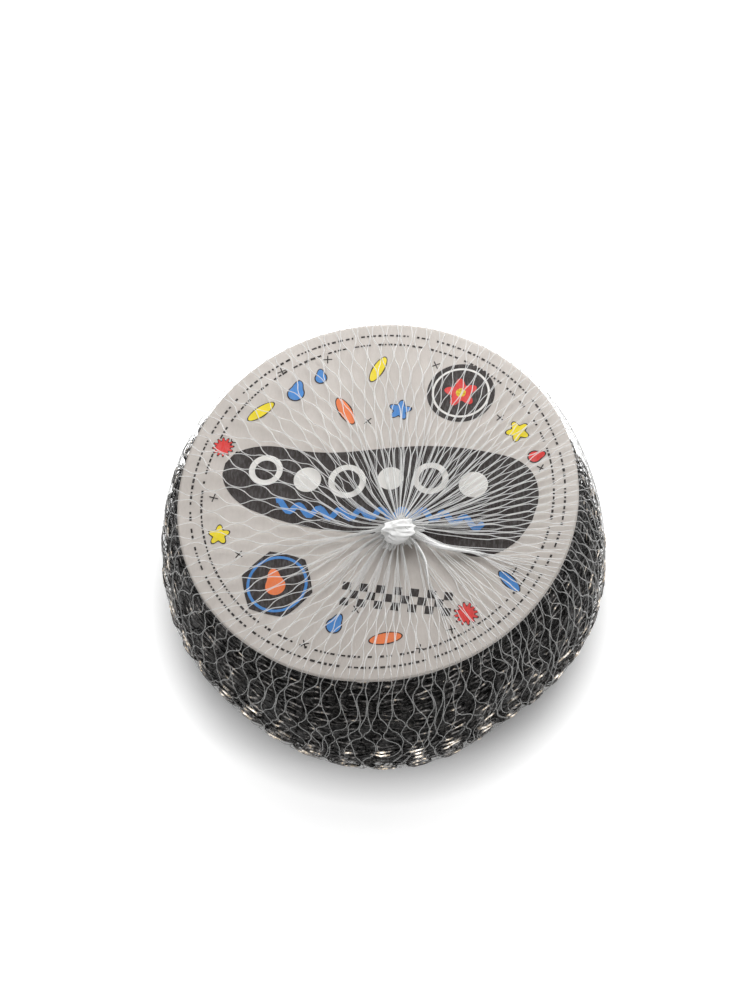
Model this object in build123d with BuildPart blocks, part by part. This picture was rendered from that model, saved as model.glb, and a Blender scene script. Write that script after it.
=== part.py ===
from build123d import *
from math import asin, cos, pi, radians, sin, sqrt, tan
import os

# A knitted wire scouring pad that lies flat, with a round card on its top and a stretched tube of
# plastic net around both. Millimetres, +Z up, the origin on the ground at the middle of the base.
# The front of the pad faces -Y. The pad is thicker on its right, so the card leans to the left.

# The card, and where the middle of its upper face lies
card_radius = 36.0
card_thickness = 0.4
card_height = 35.0
card_shift = -1.5
card_tilt = 6.0

# The pad's side: a quarter round from the flat base up to the widest circle, then one long arc
# up to the card's rim, past which the widest circle bulges
base_round = 10.8
side_bulge = 4.7

# The net: one thickness for its crown, its skirt and its floor
net_thickness = 0.4
net_columns = 24
crown_rings = 4
skirt_rings = 4
floor_rings = 3
opening_share = 0.8
skirt_opening_share = 0.9
slit_share = 0.5
net_band = 1.2
crown_plain_radius = 9.0
floor_plain_radius = 7.0

# The gather: where the net is drawn together over the card, from the middle of the card
gather_right = 4.4
gather_front = 8.3
gather_radius = 2.6
gather_top_radius = 1.0
gather_rise = 2.6

# The melted seals
seal_length = 6.4
seal_width = 4.2
seal_height = 3.4
seal_root_radius = 0.6
seal_root_height = 0.8
lower_seal_radius = 2.2
lower_seal_height = 2.0
lower_seal_round = 0.6

# The knitted sleeve, folded into nested layers that are drawn in to a neck at the middle
fold_thickness = 2.4
neck_radius = 2.6
neck_wall = 1.2
dimple_radius = 9.0
dimple_depth = 8.0
shoulder_fillet = 1.6

# The wire tie through the neck
tie_wire = 0.9
tie_bend = 0.9
tie_foot = 3.0

# Soft layers lie this far apart, and the cuts run past what they cut by the overrun
clearance = 0.3
overrun = 2.0

# Places worked out from the sizes above
crown_top = card_height + clearance + net_thickness
crown_radius = card_radius - clearance
rim_radius = card_radius + clearance + net_thickness
body_radius = rim_radius + side_bulge
side_height = crown_top - base_round
side_round = (side_height * side_height + side_bulge * side_bulge) / (2 * side_bulge)
base_radius = body_radius - base_round
knit_inset = net_thickness + clearance
knit_drop = net_thickness + clearance + card_thickness + clearance
layer_step = fold_thickness + clearance
neck_step = neck_wall + clearance


def crown_plane(drop):
    """A plane along the card, by how far it lies below the top of the net."""
    lean = radians(card_tilt)
    top = Plane(
        origin=(card_shift, 0, crown_top),
        x_dir=(cos(lean), 0, sin(lean)),
        z_dir=(-sin(lean), 0, cos(lean)),
    )
    return top.offset(-drop)


def side_radius(height, inset):
    """The pad's radius at a height above its widest circle, moved inwards by the inset."""
    reach = side_round - inset
    return body_radius - side_round + sqrt(reach * reach - (height - base_round) ** 2)


def pad_form(inset, drop, neck=0):
    """A closed pad: its side moved inwards by the inset, its top lowered by the drop.

    With a neck it has a hole of that radius through its middle, which opens into a dimple at each end.
    """
    flare = dimple_radius + neck - neck_radius
    slope = (flare - neck) / dimple_depth
    peak = crown_top + body_radius * tan(radians(card_tilt)) + overrun
    upper = crown_top - drop
    middle = (base_round + peak) / 2
    low = (base_radius, inset)
    wide = (body_radius - inset, base_round)
    high = (side_radius(peak, inset), peak)
    with BuildPart() as form:
        with BuildSketch(Plane.XZ):
            with BuildLine():
                RadiusArc(low, wide, -(base_round - inset))
                ThreePointArc(wide, (side_radius(middle, inset), middle), high)
                if neck:
                    Polyline(
                        high,
                        (flare + slope * (peak - upper), peak),
                        (neck, upper - dimple_depth),
                        (neck, inset + dimple_depth),
                        (flare, inset),
                        low,
                    )
                else:
                    Polyline(high, (0, peak), (0, inset), low)
            make_face()
        revolve(axis=Axis.Z)
        split(bisect_by=crown_plane(drop), keep=Keep.BOTTOM)
    return form.part


def shrunk(corners, share):
    """The corners of an opening, drawn in towards their middle to leave the strands between openings."""
    middle = sum(corners, Vector()) / len(corners)
    return [middle + (corner - middle) * share for corner in corners]


def even_shares(first, rows):
    """Evenly spaced levels from the first share to the whole, for so many rows of diamonds."""
    return [first + (1 - first) * level / (rows + 1) for level in range(rows + 2)]


def diamonds(point, shares, opening=opening_share):
    """The openings of a net, each row half a column on from the last: corners, angle around and share.

    The point function takes a share of the way and an angle around, and the opening is the share of
    its diamond that a hole takes up across.
    """
    column = 360 / net_columns
    for row, (near, middle, far) in enumerate(zip(shares, shares[1:], shares[2:])):
        for number in range(net_columns):
            around = (number + row / 2) * column
            corners = [
                point(near, around),
                point(middle, around + column / 2),
                point(far, around),
                point(middle, around - column / 2),
            ]
            yield shrunk(corners, opening), around, middle


# The outer layer of the knitted sleeve, which shows below the card
with BuildPart() as outer_fold:
    add(pad_form(knit_inset, knit_drop, neck_radius))
    fillet(outer_fold.faces().sort_by(Axis.Z)[-1].outer_wire().edges(), shoulder_fillet)
    add(
        pad_form(knit_inset + fold_thickness, knit_drop + fold_thickness, neck_radius + neck_wall),
        mode=Mode.SUBTRACT,
    )
outer_fold.part.label = "outer_fold"
export_step(outer_fold.part, "parts/outer_fold.step")

# The second layer, turned back inside the first
with BuildPart() as middle_fold:
    add(pad_form(knit_inset + layer_step, knit_drop + layer_step, neck_radius + neck_step))
    add(
        pad_form(
            knit_inset + layer_step + fold_thickness,
            knit_drop + layer_step + fold_thickness,
            neck_radius + neck_step + neck_wall,
        ),
        mode=Mode.SUBTRACT,
    )
middle_fold.part.label = "middle_fold"
export_step(middle_fold.part, "parts/middle_fold.step")

# The third layer
with BuildPart() as inner_fold:
    add(pad_form(knit_inset + 2 * layer_step, knit_drop + 2 * layer_step, neck_radius + 2 * neck_step))
    add(
        pad_form(
            knit_inset + 2 * layer_step + fold_thickness,
            knit_drop + 2 * layer_step + fold_thickness,
            neck_radius + 2 * neck_step + neck_wall,
        ),
        mode=Mode.SUBTRACT,
    )
inner_fold.part.label = "inner_fold"
export_step(inner_fold.part, "parts/inner_fold.step")

# The rolled end of the sleeve, a ring that fills the middle of the pad
with BuildPart() as core_roll:
    add(pad_form(knit_inset + 3 * layer_step, knit_drop + 3 * layer_step, neck_radius + 3 * neck_step))
core_roll.part.label = "core_roll"
export_step(core_roll.part, "parts/core_roll.step")

# The tie: a wire staple through the neck, its two ends bent out in the lower dimple
tie_leg = neck_radius - clearance - tie_wire / 2
tie_low = knit_inset + dimple_depth / 2
tie_high = crown_top - knit_drop - dimple_depth - tie_wire / 2
with BuildPart() as centre_tie:
    with BuildLine(Plane.XZ) as tie_path:
        FilletPolyline(
            (-tie_leg - tie_foot, tie_low),
            (-tie_leg, tie_low),
            (-tie_leg, tie_high),
            (tie_leg, tie_high),
            (tie_leg, tie_low),
            (tie_leg + tie_foot, tie_low),
            radius=tie_bend,
        )
    with BuildSketch(Plane(origin=tie_path.wire() @ 0, z_dir=tie_path.wire() % 0)):
        Circle(tie_wire / 2)
    sweep(path=tie_path.wire())
centre_tie.part.label = "centre_tie"
export_step(centre_tie.part, "parts/centre_tie.step")

# The card, a plain disc that lies under the net
with BuildPart() as printed_card:
    with BuildSketch(crown_plane(net_thickness + clearance + card_thickness)):
        Circle(card_radius)
    extrude(amount=card_thickness)
printed_card.part.label = "printed_card"
export_step(printed_card.part, "parts/printed_card.step")


def crown_point(share, around):
    """A point of the net's crown, from the gather towards the rim in one direction of the rim."""
    rim_reach = crown_radius - net_band
    return Vector(
        gather_right + (rim_reach * cos(radians(around)) - gather_right) * share,
        -gather_front + (rim_reach * sin(radians(around)) + gather_front) * share,
    )


# The net over the card, with slits where its strands run together to a low peak under the seal
crown_first = crown_plain_radius / crown_radius
slit_near = crown_first * gather_radius / crown_plain_radius * 2
slit_reach = slit_share * 360 / net_columns / 2
with BuildPart() as net_crown:
    with BuildSketch(crown_plane(net_thickness)):
        Circle(crown_radius)
        for corners, around, share in diamonds(crown_point, even_shares(crown_first, crown_rings)):
            Polygon(*corners, align=None, mode=Mode.SUBTRACT)
        for number in range(net_columns):
            around = (number + 1 / 2) * 360 / net_columns
            slit = [
                crown_point(slit_near, around),
                crown_point(crown_first, around + slit_reach),
                crown_point(crown_first + slit_near / 4, around),
                crown_point(crown_first, around - slit_reach),
            ]
            Polygon(*slit, align=None, mode=Mode.SUBTRACT)
    extrude(amount=net_thickness)
    with BuildSketch(crown_plane(0)):
        with Locations((gather_right, -gather_front)):
            Circle(gather_radius)
    with BuildSketch(crown_plane(-gather_rise)):
        with Locations((gather_right, -gather_front)):
            Circle(gather_top_radius)
    loft()
net_crown.part.label = "net_crown"
export_step(net_crown.part, "parts/net_crown.step")


def skirt_length(around):
    """The lengths of the side's two arcs, from the base and from the widest circle to the card's rim."""
    rim_height = crown_top + card_radius * cos(radians(around)) * sin(radians(card_tilt))
    return base_round * pi / 2, side_round * asin((rim_height - base_round) / side_round)


def skirt_point(share, around):
    """A point of the net's side, from the base at nought to the rim at one."""
    lower, upper = skirt_length(around)
    band = net_band / (lower + upper)
    way = (band + (1 - 2 * band) * share) * (lower + upper) - lower
    arc = base_round if way < 0 else side_round
    reach = body_radius - arc + (arc - net_thickness / 2) * cos(way / arc)
    height = base_round + (arc - net_thickness / 2) * sin(way / arc)
    return Vector(reach * cos(radians(around)), reach * sin(radians(around)), height)


# The net down the side, from the card's rim to the base
with BuildPart() as net_skirt:
    add(pad_form(0, 0))
    add(pad_form(net_thickness, net_thickness), mode=Mode.SUBTRACT)
    with BuildSketch(crown_plane(net_thickness + clearance)):
        Circle(crown_radius + clearance)
    extrude(amount=net_thickness + 2 * clearance, mode=Mode.SUBTRACT)
    with BuildSketch(Plane.XY.offset(-clearance)):
        Circle(base_radius)
    extrude(amount=net_thickness + 2 * clearance, mode=Mode.SUBTRACT)
    for corners, around, share in diamonds(
        skirt_point, even_shares(0, skirt_rings), skirt_opening_share
    ):
        along = Vector(-sin(radians(around)), cos(radians(around)))
        cell = Plane(
            origin=skirt_point(share, around),
            x_dir=along,
            z_dir=along.cross(corners[2] - corners[0]),
        )
        flat = [cell.to_local_coords(corner) for corner in corners]
        with BuildSketch(cell):
            Polygon(*[(corner.X, corner.Y) for corner in flat], align=None)
    extrude(amount=overrun, both=True, mode=Mode.SUBTRACT)
net_skirt.part.label = "net_skirt"
export_step(net_skirt.part, "parts/net_skirt.step")

# The net under the base, a flat holed disc whose middle carries the lower seal
floor_radius = base_radius - clearance


def floor_point(share, around):
    """A point of the net's floor, from its middle at nought to its edge at one."""
    reach = (floor_radius - net_band) * share
    return Vector(reach * cos(radians(around)), reach * sin(radians(around)))


with BuildPart() as net_floor:
    with BuildSketch():
        Circle(floor_radius)
        for corners, around, share in diamonds(
            floor_point, even_shares(floor_plain_radius / floor_radius, floor_rings)
        ):
            Polygon(*corners, align=None, mode=Mode.SUBTRACT)
    extrude(amount=net_thickness)
net_floor.part.label = "net_floor"
export_step(net_floor.part, "parts/net_floor.step")

# The upper seal: a melted lump that stands on the gathered strands by a short root
with BuildPart() as top_seal:
    seal_start = -gather_rise - clearance
    with BuildSketch(crown_plane(seal_start)):
        with Locations((gather_right, -gather_front)):
            Circle(seal_root_radius)
    extrude(amount=seal_root_height)
    with BuildSketch(crown_plane(seal_start - seal_root_height)):
        with Locations((gather_right, -gather_front)):
            Ellipse(seal_length / 4, seal_width / 3)
    with BuildSketch(crown_plane(seal_start - seal_root_height - seal_height / 3)):
        with Locations((gather_right, -gather_front)):
            Ellipse(seal_length / 2, seal_width / 2)
    with BuildSketch(crown_plane(seal_start - seal_height)):
        with Locations((gather_right, -gather_front)):
            Ellipse(seal_length / 4, seal_width / 4)
    loft()
top_seal.part.label = "top_seal"
export_step(top_seal.part, "parts/top_seal.step")

# The lower seal, tucked up into the dimple of the base
with BuildPart() as bottom_seal:
    with BuildSketch(Plane.XY.offset(net_thickness)):
        Circle(lower_seal_radius)
    extrude(amount=lower_seal_height)
    fillet(bottom_seal.edges().group_by(Axis.Z)[-1], lower_seal_round)
bottom_seal.part.label = "bottom_seal"
export_step(bottom_seal.part, "parts/bottom_seal.step")
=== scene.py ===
import logging
from dataclasses import dataclass
from enum import Enum

import bpy
import numpy as np
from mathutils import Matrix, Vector


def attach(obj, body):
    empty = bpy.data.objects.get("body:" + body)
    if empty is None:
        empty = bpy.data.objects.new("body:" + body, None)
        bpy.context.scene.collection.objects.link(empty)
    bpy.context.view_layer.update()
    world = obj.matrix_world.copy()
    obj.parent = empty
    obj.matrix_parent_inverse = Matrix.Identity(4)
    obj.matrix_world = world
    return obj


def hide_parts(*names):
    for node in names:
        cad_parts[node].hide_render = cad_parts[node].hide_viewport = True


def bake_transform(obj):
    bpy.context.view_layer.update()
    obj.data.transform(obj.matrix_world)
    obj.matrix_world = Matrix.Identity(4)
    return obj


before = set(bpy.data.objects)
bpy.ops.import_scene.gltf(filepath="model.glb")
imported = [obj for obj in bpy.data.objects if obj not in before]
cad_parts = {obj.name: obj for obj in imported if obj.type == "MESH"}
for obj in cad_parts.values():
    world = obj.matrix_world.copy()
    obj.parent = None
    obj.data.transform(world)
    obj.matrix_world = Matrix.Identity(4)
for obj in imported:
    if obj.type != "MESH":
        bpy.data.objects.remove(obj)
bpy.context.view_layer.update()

# The looks of a knitted wire scouring pad: a folded sleeve of flat wire with a round printed card on
# top, both held in a stretched tube of plastic net. Shapes are worked out in millimetres in the CAD
# frame and put into the meshes in metres. Angles around the pad start at its right and run to its back.

log = logging.getLogger("pot_scrubber")
Array = np.ndarray
Socket = bpy.types.NodeSocket
Material = bpy.types.Material
TURN = 2 * np.pi
MM = 0.001
UP = np.array([0.0, 0.0, 1.0])


class Body(Enum):
    """The CAD bodies that the pieces move with."""

    SCRUBBER = "scrubber"
    CROWN = "crown"
    CARD = "card"
    SEAL = "seal"


class Slot(Enum):
    """The record's material slots that pieces take their finish from."""

    WIRE = "knitted_wire"
    PAPER = "card_paper"
    NET = "net_plastic"
    MELTED = "melted_plastic"


@dataclass
class Shape:
    """Points in millimetres, and groups of faces with the same number of corners."""

    points: Array
    faces: list[Array]

    def flipped(self) -> "Shape":
        """The same shape with its faces turned round."""
        return Shape(self.points, [group[:, ::-1] for group in self.faces])


def joined(shapes: list[Shape]) -> Shape:
    """Several shapes as one, with their faces renumbered.

    Args:
        shapes: The shapes, in the order in which their points follow each other.

    Returns:
        One shape with all their points and faces.
    """
    starts = np.cumsum([0] + [len(shape.points) for shape in shapes])
    faces = [group + start for shape, start in zip(shapes, starts) for group in shape.faces]
    return Shape(np.concatenate([shape.points for shape in shapes]), faces)


def unit(vectors: Array) -> Array:
    """Vectors scaled to length one."""
    return vectors / np.maximum(np.linalg.norm(vectors, axis=-1, keepdims=True), 1e-9)


def facing(angles: Array) -> Array:
    """Flat vectors of length one in each direction: its cosine and its sine."""
    return np.stack([np.cos(angles), np.sin(angles)], axis=-1)


def wrapped(angles: Array) -> Array:
    """Angles brought within half a turn either way."""
    return (angles + np.pi) % TURN - np.pi


def smooth_step(values: Array, low: float, high: float) -> Array:
    """A soft step, 3t squared less 2t cubed, from nought at low to one at high."""
    share = np.clip((values - low) / (high - low), 0, 1)
    return share * share * (3 - 2 * share)


def bump(angles: Array, middle: float, reach: float) -> Array:
    """A soft hump around one direction, in degrees: one at the middle, a bell in the angle from it."""
    return np.exp(-((wrapped(angles - np.radians(middle)) / np.radians(reach)) ** 2))


def grid_faces(rows: int, columns: int, round_columns: bool = True) -> Array:
    """The four-cornered faces of a grid whose points are numbered row by row.

    Args:
        rows: How many rows of points there are.
        columns: How many points a row has.
        round_columns: Whether the last column joins the first.

    Returns:
        One row of four point numbers for each face.
    """
    row = np.arange(rows - 1)[:, None] * columns
    column = np.arange(columns if round_columns else columns - 1)[None, :]
    after = (column + 1) % columns
    corners = [row + column, row + columns + column, row + columns + after, row + after]
    return np.stack(np.broadcast_arrays(*corners), axis=-1).reshape(-1, 4)


def closed_shell(rings: Array) -> Shape:
    """A closed skin through a stack of rings, with a single point at each end.

    Args:
        rings: Points by ring and by place in the ring. The first and last rings are drawn to their middles.

    Returns:
        The skin, with a fan of triangles at each end.
    """
    count, around = rings.shape[:2]
    points = np.concatenate([rings.reshape(-1, 3), rings[:1].mean(axis=1), rings[-1:].mean(axis=1)])
    place = np.arange(around)
    after = (place + 1) % around
    last = (count - 1) * around
    first_fan = np.stack([place, after, np.full(around, count * around)], axis=-1)
    last_fan = np.stack([last + after, last + place, np.full(around, count * around + 1)], axis=-1)
    return Shape(points, [grid_faces(count, around), first_fan, last_fan])


def outward(shape: Shape) -> Shape:
    """The shape with its faces turned so that the volume they enclose counts as positive."""
    total = 0.0
    for group in shape.faces:
        corners = shape.points[group]
        for second in range(1, group.shape[1] - 1):
            normal = np.cross(corners[:, second] - corners[:, 0], corners[:, second + 1] - corners[:, 0])
            total += float((corners[:, 0] * normal).sum())
    return shape if total > 0 else shape.flipped()


def tubes(
    paths: Array, out: Array, across: Array, deep: Array, sides: int, twist: Array, ring: bool
) -> Shape:
    """Carries one section along many paths at once.

    At each point the section is a polygon on an ellipse: its width lies along the path's direction
    crossed with the outward one, its depth along the outward one, and both are turned by the twist.

    Args:
        paths: Points by path and by place along it.
        out: The outward direction at each point.
        across: Half the section's width at each point.
        deep: Half the section's depth at each point.
        sides: How many corners the section has.
        twist: How far the section is turned at each point, in radians.
        ring: Whether each path closes on itself. Open paths are capped.

    Returns:
        All the tubes as one shape.
    """
    count, length = paths.shape[:2]
    if ring:
        along = unit(np.roll(paths, -1, axis=1) - np.roll(paths, 1, axis=1))
    else:
        along = unit(np.gradient(paths, axis=1))
    wide = unit(np.cross(along, out))
    high = np.cross(wide, along)
    turned_wide = wide * np.cos(twist)[..., None] + high * np.sin(twist)[..., None]
    turned_high = high * np.cos(twist)[..., None] - wide * np.sin(twist)[..., None]
    corner = (np.arange(sides) + 0.5) * TURN / sides
    reach_wide = (across[..., None] * np.cos(corner))[..., None]
    reach_high = (deep[..., None] * np.sin(corner))[..., None]
    points = paths[:, :, None] + turned_wide[:, :, None] * reach_wide + turned_high[:, :, None] * reach_high
    faces = grid_faces(length + ring, sides)
    starts = (np.arange(count) * length * sides)[:, None, None]
    walls = (faces % (length * sides))[None] + starts
    groups = [walls.reshape(-1, 4)]
    if not ring:
        place = np.arange(sides)[None, :] + starts[:, :, 0]
        groups += [place, (place + (length - 1) * sides)[:, ::-1]]
    return Shape(points.reshape(-1, 3), groups)


def through(knots: Array, samples: int) -> Array:
    """Smooth curves through their knots, each stretch a cubic that leaves along its neighbours' chord.

    Args:
        knots: Points by curve and by knot.
        samples: How many points each curve gets.

    Returns:
        Points by curve and by place along it.
    """
    before_first = 2 * knots[:, :1] - knots[:, 1:2]
    past_last = 2 * knots[:, -1:] - knots[:, -2:-1]
    ends = np.concatenate([before_first, knots, past_last], axis=1)
    place = np.linspace(0, knots.shape[1] - 1 - 1e-9, samples)
    stretch = place.astype(int)
    share = (place - stretch)[None, :, None]
    before, start, end, after = (ends[:, stretch + step] for step in range(4))
    leave = (end - before) / 2
    arrive = (after - start) / 2
    cubed, squared = share**3, share**2
    return (
        (2 * cubed - 3 * squared + 1) * start
        + (cubed - 2 * squared + share) * leave
        + (3 * squared - 2 * cubed) * end
        + (cubed - squared) * arrive
    )


def lengths_along(points: Array) -> Array:
    """The distance along each line to each of its points, from its first one."""
    steps = np.linalg.norm(np.diff(points, axis=-2), axis=-1)
    return np.concatenate([np.zeros_like(steps[..., :1]), np.cumsum(steps, axis=-1)], axis=-1)


@dataclass(frozen=True)
class Wander:
    """A smooth random field around the pad: a sum of sines, each with a whole number of turns around."""

    seed: int
    waves: int = 7
    turns: int = 9
    length: float = 14.0
    stretch: tuple = (0.7, 2.2)

    def __call__(self, around: Array, way: Array) -> Array:
        """The field's value, mostly between minus one and one.

        Args:
            around: Angles around the pad, in radians.
            way: Distances along the profile, in millimetres.

        Returns:
            The sum of the sines, divided by the root of their number.
        """
        rng = np.random.default_rng(self.seed)
        total = np.zeros(np.broadcast(around, way).shape)
        for _ in range(self.waves):
            turns = rng.integers(1, self.turns + 1) * rng.choice([-1, 1])
            pitch = TURN / (self.length * rng.uniform(*self.stretch))
            total += np.sin(turns * around + pitch * way + rng.uniform(0, TURN))
        return total / np.sqrt(self.waves)


@dataclass(frozen=True)
class Layer:
    """Where a soft layer lies under the pad's outer skin: in from the side, down from the top."""

    inset: float
    drop: float
    shoulder: float
    tuck: float = 1.0


@dataclass(frozen=True)
class PadForm:
    """The sizes that the CAD source gives the pad, and places on its skin worked out from them."""

    card_radius: float = 36.0
    card_thickness: float = 0.4
    card_height: float = 35.0
    card_shift: float = -1.5
    card_tilt: float = 6.0
    base_round: float = 10.8
    side_bulge: float = 4.7
    net_thickness: float = 0.4
    clearance: float = 0.3
    gather_right: float = 4.4
    gather_front: float = 8.3
    dimple_radius: float = 9.0
    dimple_slope: float = 1.25
    dimple_edge: float = 0.9
    swells: tuple = ((266, 26, 1.2), (306, 17, -1.5), (228, 16, -0.3), (352, 16, 0.4), (155, 30, 0.6))
    swell_top: tuple = (8, 24)
    swell_base: tuple = (44, 17)

    @property
    def lean(self) -> float:
        """The card's lean, in radians."""
        return float(np.radians(self.card_tilt))

    @property
    def crown_top(self) -> float:
        """The height of the crown of the net above the card's middle."""
        return self.card_height + self.clearance + self.net_thickness

    @property
    def card_drop(self) -> float:
        """How far the card's upper face lies below the crown of the net."""
        return self.net_thickness + self.clearance

    @property
    def body_radius(self) -> float:
        """The radius of the widest circle."""
        return self.card_radius + self.clearance + self.net_thickness + self.side_bulge

    @property
    def side_round(self) -> float:
        """The radius of the long arc up to the rim, from its height and its bulge."""
        height = self.crown_top - self.base_round
        return (height * height + self.side_bulge * self.side_bulge) / (2 * self.side_bulge)

    @property
    def base_radius(self) -> float:
        """The radius of the flat base."""
        return self.body_radius - self.base_round

    @property
    def lower_length(self) -> float:
        """The length of the quarter round from the base to the widest circle."""
        return self.base_round * np.pi / 2

    def on_card(self, right: Array, back: Array, lift: Array) -> Array:
        """Points over the card, by how far right and back of its middle and how far above its face.

        Args:
            right: Distances along the card to the right.
            back: Distances along the card to the back.
            lift: Distances above the card's upper face.

        Returns:
            Points in the CAD frame: the middle, plus each distance along its own direction.
        """
        away = np.broadcast_to(lift - self.card_drop, np.broadcast(right, back, lift).shape)
        sine, cosine = np.sin(self.lean), np.cos(self.lean)
        return np.stack(
            [
                self.card_shift + right * cosine - away * sine,
                back + np.zeros_like(away),
                self.crown_top + right * sine + away * cosine,
            ],
            axis=-1,
        )

    def card_place(self, points: Array) -> tuple[Array, Array]:
        """How far right and back of the card's middle points lie, measured along the card."""
        middle = np.array([self.card_shift, 0, self.crown_top])
        right = (points - middle) @ np.array([np.cos(self.lean), 0, np.sin(self.lean)])
        return right, points[..., 1]

    def shoulder(self, around: Array, layer: Layer) -> tuple[Array, Array, Array, Array]:
        """Where a layer's side turns over into its top.

        The turn is an arc whose middle is the layer's shoulder radius away from both the side and the
        slanting top. Its middle is found by stepping between the two a few times.

        Args:
            around: Angles around the pad.
            layer: The layer.

        Returns:
            The arc's middle as radius and height, the angle at which it starts, and the one at which it ends.
        """
        reach = self.side_round - layer.inset - layer.shoulder
        radius = np.full(np.shape(around), self.card_radius)
        height = radius
        for _ in range(5):
            slant = np.tan(self.lean) * (radius * np.cos(around) - self.card_shift)
            height = self.crown_top + slant - (layer.drop + layer.shoulder) / np.cos(self.lean)
            radius = self.body_radius - self.side_round + np.sqrt(reach**2 - (height - self.base_round) ** 2)
        start = np.arcsin((height - self.base_round) / reach)
        end = np.pi / 2 + np.arctan(np.tan(self.lean) * np.cos(around))
        return radius, height, start, end

    def side_length(self, around: Array, layer: Layer) -> Array:
        """The length of the side above the widest circle, up to the shoulder."""
        return self.side_round * self.shoulder(around, layer)[2]

    def swell(self, around: Array, way: Array) -> Array:
        """How far the soft sides stand out of round: bells around a few directions, fading at both ends.

        Args:
            around: Angles around the pad.
            way: Distances along the profile.

        Returns:
            Outward distances in millimetres, less than nought where the pad is pressed in.
        """
        total = np.zeros(np.broadcast(around, way).shape)
        for middle, reach, size in self.swells:
            total = total + size * bump(around, middle, reach)
        return total * (1 - smooth_step(way, *self.swell_top)) * smooth_step(-way, *self.swell_base)

    def skin(self, way: Array, around: Array, layer: Layer, proud: Array) -> Array:
        """Points on a layer: the flat base, its dimple, the quarter round, the side, the shoulder, the top.

        The way is measured along the profile from the widest circle, upwards. Each arc is a middle plus
        its radius times the cosine and sine of the angle reached, and the swell is added to the radius.
        The dimple rises by its slope past its edge, which is softened by the logarithm of one plus e
        to the distance.

        Args:
            way: Distances along the profile.
            around: Angles around the pad.
            layer: The layer.
            proud: How far the points stand out of the layer.

        Returns:
            Points in the CAD frame.
        """
        way, around, proud = np.broadcast_arrays(way, around, proud)
        inset = layer.inset - proud
        turn_radius, turn_height, start, end = self.shoulder(around, layer)
        rim = self.side_round * start
        over = (end - start) * layer.shoulder
        flat = np.maximum(-way - self.lower_length, 0)
        flat_radius = np.maximum(self.base_radius - flat, 0)
        depth = np.logaddexp(0, (self.dimple_radius - flat_radius) / self.dimple_edge)
        rise = layer.tuck * self.dimple_slope * self.dimple_edge * depth
        low_angle = np.clip(way / self.base_round, -np.pi / 2, 0)
        side_angle = np.clip(way / self.side_round, 0, start)
        turned = np.clip(start + (way - rim) / layer.shoulder, start, end)
        low, high, arc = self.base_round - inset, self.side_round - inset, layer.shoulder + proud
        inward = np.maximum(way - rim - over, 0)
        radii = [
            turn_radius + arc * np.cos(turned) - inward * np.sin(turned),
            self.body_radius - self.side_round + high * np.cos(side_angle),
            self.base_radius + low * np.cos(low_angle),
        ]
        heights = [
            turn_height + arc * np.sin(turned) + inward * np.cos(turned),
            self.base_round + high * np.sin(side_angle),
            self.base_round + low * np.sin(low_angle),
        ]
        stretches = [way > rim, way > 0, flat <= 0]
        radius = np.select(stretches, radii, flat_radius) + self.swell(around, way)
        height = np.select(stretches, heights, inset + rise)
        return np.stack([radius * np.cos(around), radius * np.sin(around), height], axis=-1)

    def skin_out(self, way: Array, around: Array, layer: Layer, proud: Array) -> Array:
        """The direction straight out of a layer, from two points that differ only in how proud they are."""
        return unit(self.skin(way, around, layer, proud + 0.1) - self.skin(way, around, layer, proud))


class Nodes:
    """A short way to add shader nodes and join them."""

    def __init__(self, material: Material) -> None:
        """Starts with the material's shader and its object coordinates."""
        material.use_nodes = True
        self.tree = material.node_tree
        self.shader = self.tree.nodes["Principled BSDF"]
        self.place = self.add("ShaderNodeTexCoord").outputs["Object"]

    def add(self, kind: str, **inputs) -> bpy.types.Node:
        """Adds a node and sets or joins its inputs.

        Args:
            kind: The node's type.
            inputs: Values or outputs, by the input's name with spaces as underscores.

        Returns:
            The new node.
        """
        node = self.tree.nodes.new(kind)
        for name, value in inputs.items():
            self.put(node.inputs[name.replace("_", " ")], value)
        return node

    def put(self, socket: Socket, value: object) -> None:
        """Joins an output to a socket, or sets a plain value on it."""
        if isinstance(value, Socket):
            self.tree.links.new(value, socket)
        else:
            socket.default_value = value

    def noise(self, scale: float, detail: float = 3.0, squeeze: tuple = (1, 1, 1)) -> Socket:
        """Cloudy noise of so many features a metre, on object coordinates, squeezed along some axes."""
        place = self.add("ShaderNodeMapping", Vector=self.place, Scale=squeeze).outputs["Vector"]
        node = self.add("ShaderNodeTexNoise", Vector=place, Scale=scale, Detail=detail, Roughness=0.6)
        return node.outputs["Fac"]

    def ramp(self, source: Socket, stops: list[tuple]) -> Socket:
        """Colours by a value, between stops of place and colour."""
        node = self.add("ShaderNodeValToRGB", Fac=source)
        band = node.color_ramp
        while len(band.elements) < len(stops):
            band.elements.new(0.5)
        for element, (place, colour) in zip(band.elements, stops):
            element.position = place
            element.color = (*colour, 1)
        return node.outputs["Color"]

    def spread(
        self, source: Socket, low: float, high: float, start: float = 0.3, end: float = 0.7
    ) -> Socket:
        """A value mapped from start..end to low..high, clamped."""
        node = self.add("ShaderNodeMapRange")
        for place, value in enumerate((source, start, end, low, high)):
            self.put(node.inputs[place], value)
        return node.outputs["Result"]

    def bump(self, height: Socket, distance: float) -> None:
        """Gives the shader a bumpy normal from a height, distance in metres."""
        node = self.add("ShaderNodeBump", Strength=1.0, Distance=distance, Height=height)
        self.put(self.shader.inputs["Normal"], node.outputs["Normal"])

    def set(self, **values) -> None:
        """Sets or joins the shader's own inputs, by name with spaces as underscores."""
        for name, value in values.items():
            self.put(self.shader.inputs[name.replace("_", " ")], value)


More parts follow.
